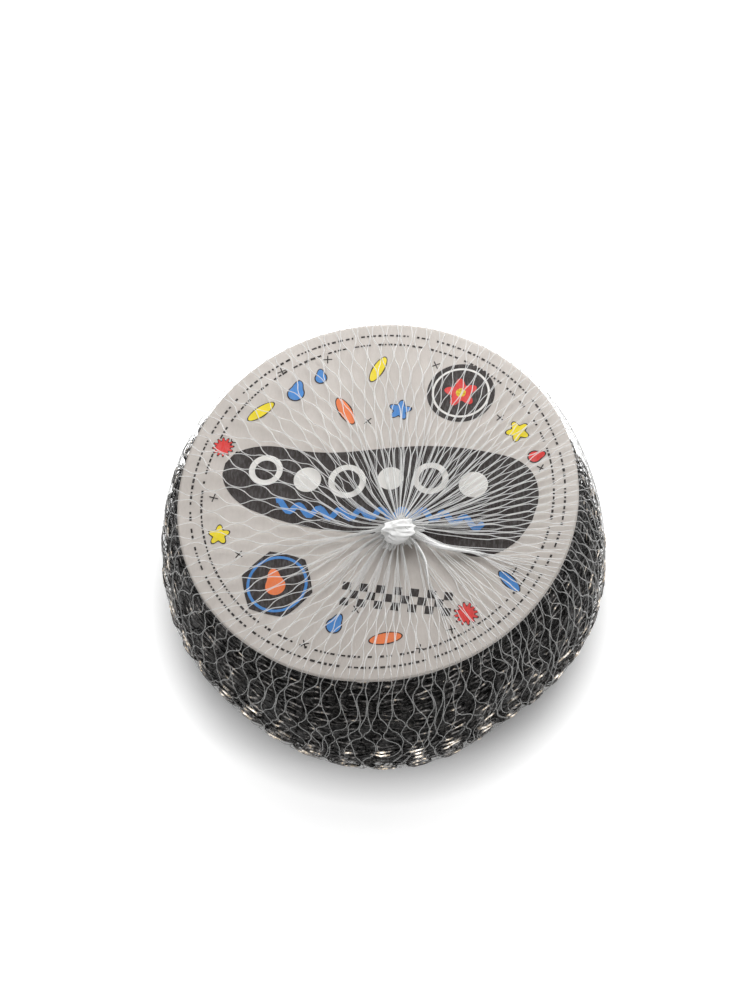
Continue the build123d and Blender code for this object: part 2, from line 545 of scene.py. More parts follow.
@dataclass(frozen=True)
class WireFinish:
    """Flat drawn steel wire: bright and brassy where the rubbed attribute is high, as scuffing and painted
    glints.
    """

    name: str
    dark: tuple
    light: tuple
    warm: tuple
    wear_and_glint: float = 0.0
    bare_and_glint: tuple = (0.88, 0.82, 0.75)

    def material(self) -> Material:
        """The finish as a material: tone from cloudy noise, lifted by the rubbed attribute's scuffing and
        painted glints; roughness and bump from finer noise.
        """
        made = bpy.data.materials.new(self.name)
        nodes = Nodes(made)
        wear_and_glint_attribute = nodes.add("ShaderNodeAttribute")
        wear_and_glint_attribute.attribute_name = "wear_and_glint"
        total = nodes.add("ShaderNodeMath")
        nodes.put(total.inputs[0], nodes.noise(1400, detail=4))
        wear_and_glint_shift = nodes.spread(wear_and_glint_attribute.outputs["Fac"], -0.35 * self.wear_and_glint, self.wear_and_glint, 0.0, 1.0)
        nodes.put(total.inputs[1], wear_and_glint_shift)
        # The two brightest stops show only where the rubbed attribute is high: scuffing and painted glints.
        stops = [(0.44, self.dark), (0.64, self.light), (0.72, self.warm), (0.79, self.bare_and_glint)]
        shade = nodes.ramp(total.outputs[0], stops)
        nodes.set(Base_Color=shade, Metallic=1.0, Roughness=nodes.spread(nodes.noise(2500), 0.16, 0.42))
        nodes.bump(nodes.noise(6000, detail=2), 0.00004)
        return made


@dataclass(frozen=True)
class NetFinish:
    """Clear soft plastic drawn into strands: milky white, whiter in patches, with a soft gloss."""

    name: str
    milk: tuple
    clear: tuple
    cover: float
    roughness: float

    def material(self) -> Material:
        """The finish as a material that lets part of the light straight through."""
        made = bpy.data.materials.new(self.name)
        nodes = Nodes(made)
        shade = nodes.ramp(nodes.noise(500), [(0.35, self.clear), (0.65, self.milk)])
        rough = nodes.spread(nodes.noise(1500), self.roughness * 0.7, self.roughness * 1.4)
        nodes.set(Base_Color=shade, Roughness=rough, Alpha=self.cover, IOR=1.49)
        nodes.bump(nodes.noise(3500, detail=2), 0.00003)
        return made


@dataclass(frozen=True)
class PaperFinish:
    """Thin coated card: a warm pale grey with fine fibres, faint clouds and a low sheen."""

    name: str
    base: tuple
    shade: tuple

    def material(self) -> Material:
        """The finish as a material: broad clouds and fine fibres in the colour, fibres in the bump."""
        made = bpy.data.materials.new(self.name)
        nodes = Nodes(made)
        cloud = nodes.noise(70, detail=4)
        fibre = nodes.noise(2600, detail=4, squeeze=(1, 0.3, 1))
        mixed = nodes.add("ShaderNodeMix", Factor=0.35, A=cloud, B=fibre)
        nodes.set(Base_Color=nodes.ramp(mixed.outputs["Result"], [(0.36, self.shade), (0.62, self.base)]))
        nodes.set(Roughness=nodes.spread(nodes.noise(300), 0.42, 0.6), Coat_Weight=0.15, Coat_Roughness=0.25)
        nodes.bump(fibre, 0.00002)
        return made


@dataclass(frozen=True)
class InkFinish:
    """Printed ink: one colour, slightly uneven where the paper's fibres show through."""

    name: str
    colour: tuple

    def material(self) -> Material:
        """The finish as a material: the colour and a paler one, mixed by fine noise."""
        made = bpy.data.materials.new(self.name)
        nodes = Nodes(made)
        pale = tuple(0.86 * part + 0.06 for part in self.colour)
        fibre = nodes.noise(2200, detail=4, squeeze=(1, 0.3, 1))
        shade = nodes.ramp(fibre, [(0.45, self.colour), (0.75, pale)])
        rough = nodes.spread(nodes.noise(300), 0.45, 0.6)
        nodes.set(Base_Color=shade, Roughness=rough, Specular_IOR_Level=0.3)
        nodes.bump(nodes.noise(2600, detail=3), 0.00001)
        return made


@dataclass(frozen=True)
class TieFinish:
    """Bright drawn steel wire with fine lines along it."""

    name: str
    dark: tuple = (0.36, 0.35, 0.34)
    light: tuple = (0.56, 0.55, 0.53)

    def material(self) -> Material:
        """The finish as a material: grey steel, rough and bumpy by noise stretched along the wire."""
        made = bpy.data.materials.new(self.name)
        nodes = Nodes(made)
        lines = nodes.noise(4000, squeeze=(1, 1, 0.06))
        nodes.set(Base_Color=nodes.ramp(lines, [(0.3, self.dark), (0.7, self.light)]), Metallic=1.0)
        nodes.set(Roughness=nodes.spread(lines, 0.22, 0.45))
        nodes.bump(lines, 0.00003)
        return made


def make_piece(
    name: str,
    shape: Shape,
    finish: Material,
    smooth: bool = True,
    wear_and_glint: Array | None = None,
) -> bpy.types.Object:
    """Puts a shape into a mesh at the origin and gives it its finish.

    Args:
        name: The piece's name.
        shape: Its points and faces.
        finish: Its material.
        smooth: Whether its faces are shaded smooth.
        wear_and_glint: How much brighter the wire is at each point, from scuffing and painted glints, kept as
            an attribute for its finish.

    Returns:
        The new object.
    """
    mesh = bpy.data.meshes.new(name)
    groups = shape.faces
    sizes = np.concatenate([np.full(len(group), group.shape[1]) for group in groups])
    corners = np.concatenate([group.ravel() for group in groups]).astype(np.int32)
    mesh.vertices.add(len(shape.points))
    mesh.vertices.foreach_set("co", (shape.points * MM).astype(np.float32).ravel())
    mesh.loops.add(len(corners))
    mesh.loops.foreach_set("vertex_index", corners)
    mesh.polygons.add(len(sizes))
    mesh.polygons.foreach_set("loop_start", (np.cumsum(sizes) - sizes).astype(np.int32))
    mesh.polygons.foreach_set("use_smooth", np.full(len(sizes), smooth))
    mesh.materials.append(finish)
    if wear_and_glint is not None:
        wear_and_glint_attribute = mesh.attributes.new("wear_and_glint", "FLOAT", "POINT")
        wear_and_glint_attribute.data.foreach_set("value", wear_and_glint.astype(np.float32).ravel())
    mesh.update(calc_edges=True)
    piece = bpy.data.objects.new(name, mesh)
    bpy.context.scene.collection.objects.link(piece)
    log.info("%s: %d points, %d triangles", name, len(shape.points), int((sizes - 2).sum()))
    return piece


@dataclass(frozen=True)
class KnitLayer:
    """One layer of the knit: its stitches around and along, its wire, and how loose it is."""

    layer: Layer
    wales: int
    pitch: float
    first: float
    last: float
    points: int
    wire_width: float
    wire_depth: float
    looseness: float
    slant: float
    seed: int


WALL = Layer(1.25, 1.9, 2.6)


@dataclass(frozen=True)
class KnittedSleeve:
    """The folded sleeve of knitted flat wire.

    The open side is the direction around which the sides aren't drawn in below the card, and its reach,
    in degrees. The wires sway around the pad and ripple up and down, slowly and at random.
    """

    form: PadForm
    overlap: float = 0.115
    head_share: float = 0.06
    reach: float = 0.95
    crimp: float = 0.15
    ladder_lift: float = 0.75
    hollow: float = 2.0
    least_cover: float = 0.35
    least_height: float = 0.3
    slant_height: float = 20
    open_side: tuple = (155, 50)
    heart_layer: Layer = Layer(6.0, 5.2, 3.0)
    heart_hollow: float = 3.5
    heart_hole: float = 0.8
    heart_run: float = 34
    heart_spokes: int = 240
    heart_rings: int = 110
    sway: float = 0.03
    ripple: float = 0.45
    side: KnitLayer = KnitLayer(WALL, 40, 1.55, 0.0, 43.0, 20, 0.25, 0.07, 0.2, 0.10, 11)
    under: KnitLayer = KnitLayer(Layer(2.2, 3.6, 2.4), 37, 1.25, 0.0, 43.0, 14, 0.26, 0.08, 0.4, -0.16, 12)
    base: KnitLayer = KnitLayer(WALL, 40, 1.5, -27.0, 0.0, 14, 0.2, 0.07, 0.2, 0.10, 13)

    def proud(
        self, knit: KnitLayer, around: Array, level: Array, way: Array, part: Array, bend: tuple[Array, Array]
    ) -> Array:
        """How far the wire stands out of its layer.

        The bend of the stitches and a slow swell are limited by the cover. Low down the ladders stand out
        by one less the cosine of the turn, and the sides are drawn in below the card.

        Args:
            knit: The layer's stitches.
            around: Angles around the pad.
            level: The courses' heights along the profile.
            way: Distances along the profile.
            part: The share of the whole profile that they are.
            bend: The depth of the stitches by themselves, and one less the cosine of their turn.

        Returns:
            Distances in millimetres.
        """
        depth, ladder = bend
        most = knit.layer.inset - self.least_cover
        swell = 0.25 * Wander(knit.seed + 3, turns=14, length=9)(around, level)
        loose_side = bump(around, *self.open_side)
        total = np.minimum(depth + swell, most)
        total = np.minimum(total + self.ladder_lift * 0.45 * ladder * smooth_step(way, 2, -6), most)
        total = total - self.hollow * (1 - 0.95 * loose_side) * smooth_step(part, 0.55, 0.85)
        return total - 1.6 * loose_side * smooth_step(part, 0.86, 0.96)

    def stitches(self, knit: KnitLayer) -> tuple[Shape, Array]:
        """The wires of one layer.

        A course is one wire around the pad. Along each stitch, by a turn t: the place around is its share
        of the turn plus the overlap times the sine of 2t and the head share times the sine of t, so heads
        are wider than feet. The height is the reach times the cosine of t. The depth is the crimp times
        the cosine of 2t plus the ladder lift times the cosine of t.

        Args:
            knit: The layer's stitches.

        Returns:
            All its courses as flat-sided tubes, and how much brighter the wire is at each of their points:
            at the heads of the stitches as scuffing and painted highlight, more so low down and at the pad's
            right and left as painted glints.
        """
        rng = np.random.default_rng(knit.seed)
        form, layer = self.form, knit.layer
        level = np.arange(knit.first, knit.last, knit.pitch)[:, None, None]
        turn = (np.arange(knit.points) * TURN / knit.points)[None, None, :]
        wale = np.arange(knit.wales)[None, :, None]
        shape, rows = (len(level), knit.wales, 1), (len(level), -1)
        head, foot = np.maximum(np.cos(turn), 0) ** 2, np.maximum(-np.cos(turn), 0) ** 2
        loose = [
            knit.looseness * (rng.normal(size=shape) * head + rng.normal(size=shape) * foot)
            for _ in range(4)
        ]
        bow = self.overlap * np.sin(2 * turn) + self.head_share * np.sin(turn)
        around = (wale + turn / TURN + bow) * TURN / knit.wales
        drift = knit.slant * (level - self.slant_height) / form.body_radius
        around = around + drift + loose[0] * 0.8 / form.body_radius + self.sway * Wander(51)(around, level)
        height = level + self.reach * knit.pitch * np.cos(turn) + loose[1]
        height = height + self.ripple * Wander(52)(around, level)
        whole = form.lower_length + form.side_length(around, layer)
        nominal = form.lower_length + form.side_length(np.array(np.pi / 2), layer)
        share = np.where(height > 0, height * whole / nominal, height)
        way = share - form.lower_length
        depth = self.crimp * np.cos(2 * turn) + self.ladder_lift * np.cos(turn) + 0.5 * loose[2]
        proud = self.proud(knit, around, level, way, share / whole, (depth, 1 - np.cos(turn)))
        around, way, proud = around.reshape(rows), way.reshape(rows), proud.reshape(rows)
        paths = form.skin(way, around, layer, proud)
        paths[..., 2] = np.maximum(paths[..., 2], self.least_height)
        out = form.skin_out(way, around, layer, proud)
        twist = 0.9 * Wander(knit.seed + 4, waves=9, turns=60, length=3)(around, way)
        twist = twist + np.repeat(rng.normal(size=shape[:2]) * 0.45, knit.points, axis=1)
        flat = np.broadcast_to(head, (len(level), knit.wales, knit.points)).reshape(rows)
        width = knit.wire_width * (0.55 + 0.45 * flat)
        # low and ends mark where the heads get painted glints: low down on the side, and at the pad's right
        # and left. low also turns the heads' flats there.
        low = smooth_step(paths[..., 2], 22, 15) * smooth_step(paths[..., 2], 5, 12)
        ends = smooth_step(np.abs(paths[..., 0]), 33, 40)
        twist = twist * (1 - 0.5 * flat) + 0.9 * (1 - flat) + 0.7 * flat * low
        # The heads are brighter in random patches, as scuffing and painted highlight.
        patchy = 0.15 + 0.85 * smooth_step(rng.random(shape[:2]), 0.2, 0.95)
        wear_and_glint = flat**1.5 * (0.52 + 0.48 * np.maximum(low, 0.8 * ends)) * patchy.repeat(knit.points, axis=1)
        wires = tubes(paths, out, width, np.full(paths.shape[:2], knit.wire_depth), 4, twist, ring=True)
        return wires, np.repeat(wear_and_glint[..., None], 4, axis=-1)

    def heart(self) -> Shape:
        """The dense inner folds as one closed, gently lumpy skin: rings along the profile, in order."""
        form, layer = self.form, self.heart_layer
        around = np.linspace(0, TURN, self.heart_spokes, endpoint=False)[None, :]
        rim = form.side_length(around, layer)
        share = np.linspace(0, 1, self.heart_rings)[:, None]
        low = -form.lower_length - form.base_radius + self.heart_hole
        way = low + share * (rim + self.heart_run - low)
        held_in = (1 - 0.9 * bump(around, *self.open_side)) * smooth_step(way, 6, 19)
        lumps = 0.35 * Wander(31, waves=12, turns=40, length=5)(around, way)
        lumps = lumps + self.heart_hollow * (1 - held_in)
        lumps = lumps + 0.6 * (1 - smooth_step(way, -3, 8))
        return outward(closed_shell(form.skin(way, around, layer, lumps)))

    def make(self) -> None:
        """Builds the layers, dresses them and hides the CAD parts that they stand for."""
        silver, brass = (0.24, 0.228, 0.22), (0.56, 0.46, 0.34)
        bright = WireFinish("wire_bright", (0.045, 0.043, 0.042), silver, brass, 0.34).material()
        # The under layer takes a darker copy of the same steel: painted shade.
        grey, bronze = (0.09, 0.087, 0.085), (0.14, 0.12, 0.09)
        under_shade_finish = WireFinish("wire_under_painted_shade", (0.02, 0.02, 0.02), grey, bronze).material()
        # The heart takes a near black copy: painted shade for the dark inside the dense folds.
        heart_shade, heart_shade_warm = (0.035, 0.034, 0.033), (0.07, 0.06, 0.05)
        dense = WireFinish("wire_heart_painted_shade", (0.008, 0.008, 0.008), heart_shade, heart_shade_warm).material()
        layers = [
            ("knit_side", self.stitches(self.side), bright, ["outer_fold"]),
            ("knit_base", self.stitches(self.base), bright, []),
            ("knit_under", self.stitches(self.under), under_shade_finish, ["middle_fold"]),
            ("knit_heart", (self.heart(), None), dense, ["inner_fold", "core_roll"]),
        ]
        for name, (shape, wear_and_glint), finish, stands_for in layers:
            piece = make_piece(name, shape, finish, wear_and_glint is None, wear_and_glint)
            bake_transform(piece)
            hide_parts(*stands_for)


class Ink(Enum):
    """The card's printing inks."""

    DARK = (0.020, 0.0135, 0.012)
    WHITE = (0.74, 0.72, 0.69)
    RED = (0.66, 0.035, 0.03)
    BLUE = (0.05, 0.22, 0.56)
    YELLOW = (0.80, 0.64, 0.015)
    ORANGE = (0.80, 0.20, 0.06)


class Figure(Enum):
    """The outlines of the print's small motifs."""

    BUBBLE = "disc"
    DROP = "drop"
    LEAF = "leaf"
    FLOWER = "flower"
    HEXAGON = "hexagon"
    SUN = "sun"


@dataclass(frozen=True)
class Motif:
    """One small printed motif: where it lies, its half size, its turn in degrees, and its ink."""

    figure: Figure
    right: float
    back: float
    size: float
    turn: float
    ink: Ink
    rimmed: bool = True


MOTIFS = [
    Motif(Figure.BUBBLE, 15.5, 20.2, 6.2, 0, Ink.DARK, False),
    Motif(Figure.FLOWER, 15.5, 20.2, 3.1, 20, Ink.RED, False),
    Motif(Figure.BUBBLE, 15.5, 20.2, 0.9, 0, Ink.YELLOW, False),
    Motif(Figure.HEXAGON, -17.5, -16.8, 7.0, 12, Ink.DARK, False),
    Motif(Figure.DROP, -17.8, -17.1, 2.9, 100, Ink.ORANGE, False),
    Motif(Figure.DROP, -14.8, 22.0, 2.3, 75, Ink.BLUE),
    Motif(Figure.DROP, -10.2, 25.0, 1.6, 95, Ink.BLUE),
    Motif(Figure.LEAF, -21.2, 18.6, 2.8, 35, Ink.YELLOW),
    Motif(Figure.LEAF, -5.6, 17.6, 3.1, 118, Ink.ORANGE),
    Motif(Figure.LEAF, 0.4, 26.2, 2.8, 62, Ink.YELLOW),
    Motif(Figure.FLOWER, 4.4, 17.2, 2.0, 5, Ink.BLUE),
    Motif(Figure.SUN, -28.0, 11.6, 1.9, 0, Ink.RED),
    Motif(Figure.FLOWER, 25.6, 11.4, 2.1, 40, Ink.YELLOW),
    Motif(Figure.DROP, 28.4, 6.0, 1.7, 20, Ink.RED),
    Motif(Figure.LEAF, 23.2, -18.4, 2.5, -50, Ink.BLUE),
    Motif(Figure.SUN, 15.6, -24.2, 2.1, 10, Ink.RED),
    Motif(Figure.LEAF, 1.6, -28.2, 2.8, 8, Ink.ORANGE),
    Motif(Figure.DROP, -7.4, -25.4, 2.0, 60, Ink.BLUE),
    Motif(Figure.FLOWER, -28.2, -6.4, 1.9, 15, Ink.YELLOW),
    Motif(Figure.BUBBLE, -20.0, 6.2, 3.1, 0, Ink.WHITE, False),
    Motif(Figure.BUBBLE, -12.4, 3.7, 2.5, 0, Ink.WHITE, False),
    Motif(Figure.BUBBLE, -5.2, 2.9, 3.4, 0, Ink.WHITE, False),
    Motif(Figure.BUBBLE, 2.6, 3.0, 2.3, 0, Ink.WHITE, False),
    Motif(Figure.BUBBLE, 9.8, 2.6, 3.2, 0, Ink.WHITE, False),
    Motif(Figure.BUBBLE, 17.4, 0.9, 2.6, 0, Ink.WHITE, False),
    Motif(Figure.BUBBLE, -20.0, 6.2, 2.0, 0, Ink.DARK, False),
    Motif(Figure.BUBBLE, -5.2, 2.9, 2.3, 0, Ink.DARK, False),
    Motif(Figure.BUBBLE, 9.8, 2.6, 2.1, 0, Ink.DARK, False),
]


CROSSES = [
    (-9, 29), (11, 26.5), (22.5, 14.5), (29.5, 3.6), (21, -6), (13, -27), (-3.5, -22.5), (-24.5, -10.5),
    (-29.4, 1.2), (-26.5, 12.4), (-17.5, 27), (-1.5, 15.2), (24.2, -16.4), (7.5, -30.4), (-12.5, -28.6),
]


@dataclass(frozen=True)
class Card:
    """The round printed card under the net.

    The band's end is the length over which its width closes. An edge line is the radius of a ring of
    short marks and their seed.
    """

    form: PadForm
    rings: int = 90
    spokes: int = 320
    print_lift: float = 0.045
    layer_lift: float = 0.015
    square: float = 1.5
    most_rise: float = 0.1
    sunk: float = 0.12
    band_reach: float = 27.5
    band_end: float = 8.0
    edge_lines: tuple = ((33.6, 21), (31.6, 22))
    cross_reach: float = 0.85
    cross_width: float = 0.22
    rim_width: float = 0.24

    def relief(self, right: Array, back: Array) -> Array:
        """How far the card's face lies above its plane, by place.

        Long folds are the distance from a line, softened near it; dents are bells around a line. The
        whole is sunk so that nothing rises into the net.

        Args:
            right: Distances to the right of the middle.
            back: Distances to the back of the middle.

        Returns:
            Heights in millimetres.
        """
        total = np.zeros(np.broadcast(right, back).shape)
        folds = [(15, -9, 0.010), (72, 12, 0.008), (118, -16, 0.012)]
        folds += [(160, 6, 0.007), (40, 22, 0.012), (95, -2, 0.006)]
        for angle, offset, slope in folds:
            away = right * np.cos(np.radians(angle)) + back * np.sin(np.radians(angle)) - offset
            total = total - slope * (np.sqrt(away**2 + 2.2) - 8)
        total = total + 0.05 * np.sin(right / 5.3 + 0.7 * np.sin(back / 7.1)) * np.sin(back / 6.1 + 1.3)
        total = total + 0.03 * np.sin(right / 2.9 - back / 4.3 + 0.5)
        return np.minimum(total * 0.8, self.most_rise) - self.sunk

    def on_face(self, right: Array, back: Array, lift: float) -> Array:
        """Points at a lift above the card's face, which follow its relief."""
        return self.form.on_card(right, back, self.relief(right, back) + lift)

    def sheet(self) -> Shape:
        """The card as a thin closed disc whose two faces follow the relief."""
        around = np.linspace(0, TURN, self.spokes, endpoint=False)[None, :]
        reach = np.linspace(0.004, 1, self.rings)[:, None] * self.form.card_radius
        right, back = reach * np.cos(around), reach * np.sin(around)
        top, under = self.on_face(right, back, 0.0), self.on_face(right, back, -self.form.card_thickness)
        return outward(closed_shell(np.concatenate([top, under[::-1]])))

    def patch(self, motif: Motif, outline: Array, lift: float) -> Shape:
        """A flat print motif filled from its middle: rings of points that grow towards an outline.

        Args:
            motif: The motif, with its middle and its turn.
            outline: The outline's distance from the middle, at even angles.
            lift: How far it lies above the card's face.

        Returns:
            The motif on the card.
        """
        rings, corners = max(3, int(np.ceil(motif.size / 0.7))), len(outline)
        angle = np.linspace(0, TURN, corners, endpoint=False) + np.radians(motif.turn)
        reach = (np.arange(rings + 1) / rings)[1:, None] * outline
        middle = np.array([motif.right, motif.back])
        rim = middle + reach[..., None] * facing(angle)
        flat = np.concatenate([rim.reshape(-1, 2), middle[None]])
        place = np.arange(corners)
        fan = np.stack([place, (place + 1) % corners, np.full(corners, rings * corners)], axis=-1)
        return Shape(self.on_face(flat[:, 0], flat[:, 1], lift), [grid_faces(rings, corners), fan])

    def ribbon(self, line: Array, width: float | Array, lift: float, strips: int = 1) -> Shape:
        """A print line: points on both sides of a line, across its direction.

        Args:
            line: Places along the line, right and back.
            width: The line's width, or one for each place.
            lift: How far it lies above the card's face.
            strips: How many strips make up its width.

        Returns:
            The line on the card.
        """
        along = unit(np.gradient(line, axis=0))
        side = np.stack([-along[:, 1], along[:, 0]], axis=-1)
        across = np.linspace(-0.5, 0.5, strips + 1)[None, :, None] * np.asarray(width)[..., None, None]
        flat = line[:, None] + side[:, None] * across
        points = self.on_face(flat[..., 0], flat[..., 1], lift)
        return Shape(points.reshape(-1, 3), [grid_faces(len(line), strips + 1, round_columns=False)])

    def outline(self, figure: Figure, size: float) -> Array:
        """A motif's outline: its distance from the middle at each of 72 even angles a.

        A drop swells by a power of the cosine of a, a leaf is an ellipse with drawn-out ends, a flower
        swells with the cosine of 5a and a sun with that of 12a, and a hexagon is a circle cut by six
        straight sides and rounded.

        Args:
            figure: Which motif.
            size: Its half size.

        Returns:
            The distances, in millimetres.
        """
        angle = np.linspace(0, TURN, 72, endpoint=False)
        side = np.cos(np.pi / 6) / np.cos((angle + np.pi / 6) % (np.pi / 3) - np.pi / 6)
        pulse = np.cos(12 * angle)
        shapes = {
            Figure.BUBBLE: np.ones(72),
            Figure.DROP: 0.62 + 0.55 * np.maximum(np.cos(angle), 0) ** 9,
            Figure.LEAF: 0.34 / np.sqrt((0.34 * np.cos(angle)) ** 2 + np.sin(angle) ** 2),
            Figure.FLOWER: 0.78 + 0.22 * np.cos(5 * angle),
            Figure.SUN: 0.82 + 0.18 * np.sign(pulse) * np.abs(pulse) ** 0.5,
            Figure.HEXAGON: 0.75 * side + 0.2,
        }
        return shapes[figure] * size

    def ring(self, right: float, back: float, radius: float, width: float, lift: float) -> Shape:
        """A thin printed ring around a place."""
        line = np.array([right, back]) + radius * facing(np.linspace(0, TURN, 61))
        return self.ribbon(line, width, lift)

    def dashes(self, radius: float, seed: int) -> Shape:
        """A ring of short uneven marks near the edge: arcs of random length with random gaps between.

        Args:
            radius: The ring's radius.
            seed: Which random lengths it gets.

        Returns:
            All its marks: for each, three places along and two across.
        """
        rng = np.random.default_rng(seed)
        count = int(TURN * radius / 1.15)
        length = rng.uniform(0.3, 0.95, count)
        gap = rng.uniform(0.18, 0.3, count) + 0.9 * (rng.random(count) < 0.14)
        start = np.cumsum(length + gap) - length
        start = start / (start[-1] + length[-1] + 0.5) * TURN
        angle = start[:, None] + np.array([0, 0.5, 1.0]) * (length / radius)[:, None]
        reach = radius + np.array([-0.5, 0.5]) * rng.uniform(0.3, 0.46, count)[:, None]
        flat = reach[:, None, ::-1, None] * facing(angle)[:, :, None]
        points = self.on_face(flat[..., 0], flat[..., 1], self.print_lift)
        faces = grid_faces(3, 2, round_columns=False)[None] + (np.arange(count) * 6)[:, None, None]
        return Shape(points.reshape(-1, 3), [faces.reshape(-1, 4)])

    def chequers(self, right: float, back: float, turn: float) -> Shape:
        """A strip of three rows of small squares, every other one printed.

        Args:
            right: The strip's middle, to the right.
            back: The strip's middle, to the back.
            turn: How far it is turned, in degrees.

        Returns:
            The printed squares.
        """
        rows, columns = 3, 13
        row, column = np.meshgrid(np.arange(rows), np.arange(columns), indexing="ij")
        chosen = (row + column) % 2 == 0
        corner = np.stack([column[chosen] - columns / 2, row[chosen] - rows / 2], axis=-1) * self.square
        flat = corner[:, None] + np.array([[0, 0], [1, 0], [0, 1], [1, 1]]) * self.square
        cosine, sine = np.cos(np.radians(turn)), np.sin(np.radians(turn))
        to_right = right + flat[..., 0] * cosine - flat[..., 1] * sine
        to_back = back + flat[..., 0] * sine + flat[..., 1] * cosine
        points = self.on_face(to_right, to_back, self.print_lift)
        faces = (np.arange(len(corner)) * 4)[:, None] + np.array([0, 1, 3, 2])
        return Shape(points.reshape(-1, 3), [faces])

    def crosses(self) -> list[Shape]:
        """Small plus signs strewn between the motifs, each of two short lines."""
        shapes = []
        way = np.linspace(-self.cross_reach, self.cross_reach, 3)
        for number, (right, back) in enumerate(CROSSES):
            for turn in (0.35 * number, 0.35 * number + np.pi / 2):
                line = np.array([right, back]) + way[:, None] * facing(turn)
                shapes.append(self.ribbon(line, self.cross_width, self.print_lift))
        return shapes

    def band_height(self, right: Array) -> Array:
        """How far back the broad band's middle lies: a line that slopes down to the right, plus a sine."""
        return 0.6 - 0.27 * right + 2.0 * np.sin(right / 8.5)

    def band(self) -> Shape:
        """The broad dark band: a slow wave across the card whose width closes to round ends."""
        way = np.linspace(-self.band_reach, self.band_reach, 111)
        line = np.stack([way, self.band_height(way)], axis=-1)
        past = np.maximum(np.abs(way) - (self.band_reach - self.band_end), 0) / self.band_end
        half = (8.6 + 0.09 * way) * np.sqrt(np.maximum(1 - past**2, 0.0))
        return self.ribbon(line, 2 * half, self.print_lift, strips=28)

    def printing(self) -> dict[Ink, list[Shape]]:
        """Every printed mark by its ink.

        The dark edge marks, band, chequers and crosses come first, then the motifs with their rims, and
        last the rings and the wave. A motif on top of another one lies a layer higher.

        Returns:
            The marks of each ink.
        """
        marks: dict[Ink, list[Shape]] = {ink: [] for ink in Ink}
        low = self.print_lift
        high, top = low + self.layer_lift, low + 2 * self.layer_lift
        marks[Ink.DARK] += [self.dashes(radius, seed) for radius, seed in self.edge_lines]
        marks[Ink.DARK] += [self.band(), self.chequers(right=3.5, back=-20.8, turn=-9), *self.crosses()]
        seen = set()
        for motif in MOTIFS:
            level = low if motif.ink is Ink.DARK and motif.size > 5 else high
            level = top if (motif.right, motif.back) in seen else level
            seen.add((motif.right, motif.back))
            outline = self.outline(motif.figure, motif.size)
            marks[motif.ink].append(self.patch(motif, outline, level))
            if motif.rimmed:
                marks[Ink.DARK].append(self.patch(motif, outline + self.rim_width, low))
        marks[Ink.WHITE].append(self.ring(right=15.5, back=20.2, radius=5.1, width=0.4, lift=high))
        marks[Ink.BLUE].append(self.ring(right=-17.5, back=-16.8, radius=5.2, width=0.5, lift=high))
        way = np.linspace(-18, 19, 90)
        wave = np.stack([way, self.band_height(way) - 4.6 + 0.9 * np.sin(way * 1.7)], axis=-1)
        marks[Ink.BLUE].append(self.ribbon(wave, 1.1, high, strips=2))
        return marks

    def make(self) -> None:
        """Builds and dresses the card and its print. They turn under the net with their own body."""
        paper = PaperFinish("card_coated", (0.535, 0.493, 0.457), (0.46, 0.42, 0.385)).material()
        sheet = make_piece("card_sheet", self.sheet(), paper)
        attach(sheet, Body.CARD.value)
        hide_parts("printed_card")
        for ink, shapes in self.printing().items():
            finish = InkFinish("ink_" + ink.name.lower(), ink.value).material()
            piece = make_piece("print_" + ink.name.lower(), joined(shapes), finish)
            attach(piece, Body.CARD.value)


